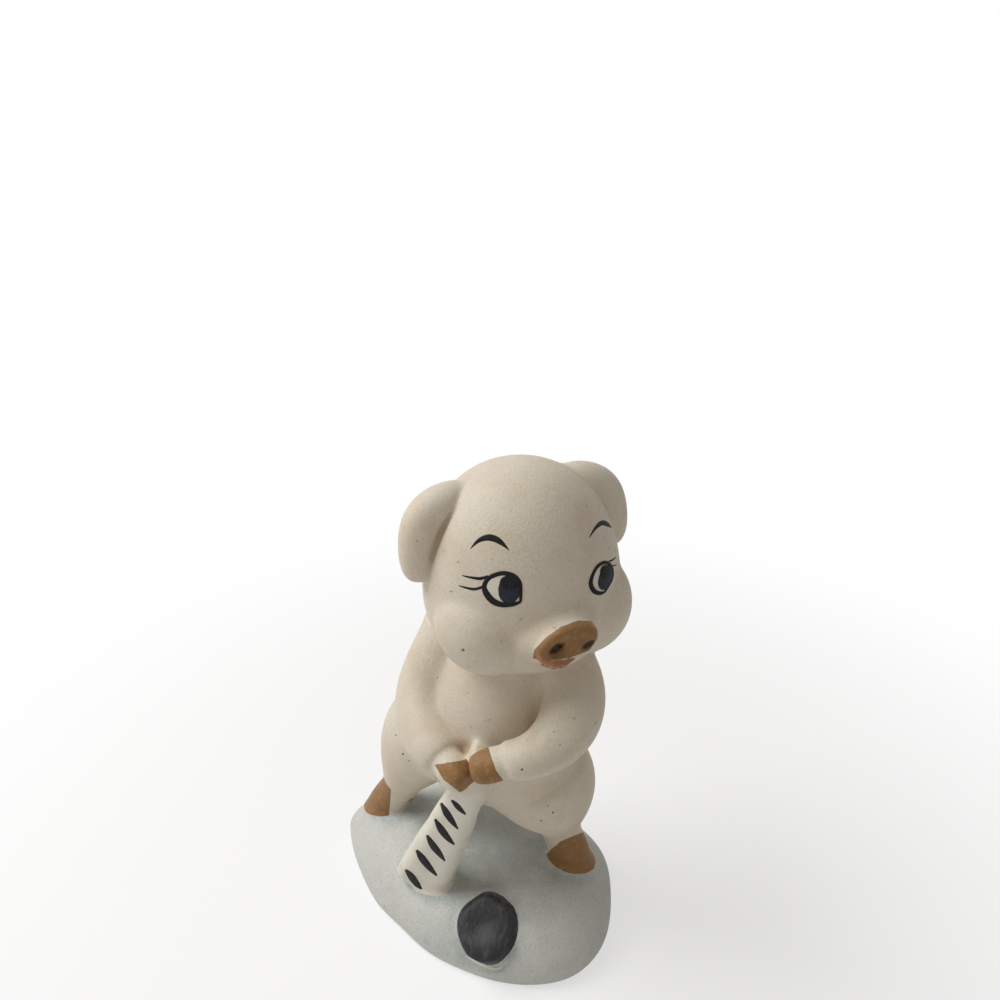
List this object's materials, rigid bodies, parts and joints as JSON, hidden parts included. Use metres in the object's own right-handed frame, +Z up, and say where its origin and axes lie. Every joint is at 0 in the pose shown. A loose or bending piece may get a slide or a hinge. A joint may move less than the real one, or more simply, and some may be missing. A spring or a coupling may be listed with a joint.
{
  "type": "pig figurine",
  "caption": "Bisque pig figurine that stands astride an ice-blue mound and grips a striped stick above a black puck; a rigid shelf ornament that rests on its flat underside.",
  "frame": {"origin": "on the floor plane, under the middle of the base's outline", "axes": "+Z up, -Y the way the belly and the hands face, +X the pig's own left, which the head is turned towards"},
  "size_m": [0.0441, 0.0286, 0.066],
  "materials": {
    "bisque_skin": "matt unglazed bisque with a faint warm blush",
    "brown_stain": "thin brown ceramic stain brushed over bisque",
    "ice_blue": "pale blue-grey stain mottled over bisque",
    "white_slip": "white bisque with black painted stripes",
    "black_stain": "brushed black stain, slightly satin"
  },
  "bodies": {
    "root": {"torso": "bisque_skin", "head": "bisque_skin", "left_ear": "bisque_skin", "right_ear": "bisque_skin", "left_arm": "bisque_skin", "right_arm": "bisque_skin", "left_leg": "bisque_skin", "right_leg": "bisque_skin", "tail": "bisque_skin", "snout": "brown_stain", "left_hand_trotter": "brown_stain", "right_hand_trotter": "brown_stain", "left_foot_trotter": "brown_stain", "right_foot_trotter": "brown_stain", "base": "ice_blue", "stick": "white_slip", "puck": "black_stain"}
  },
  "joints": []
}
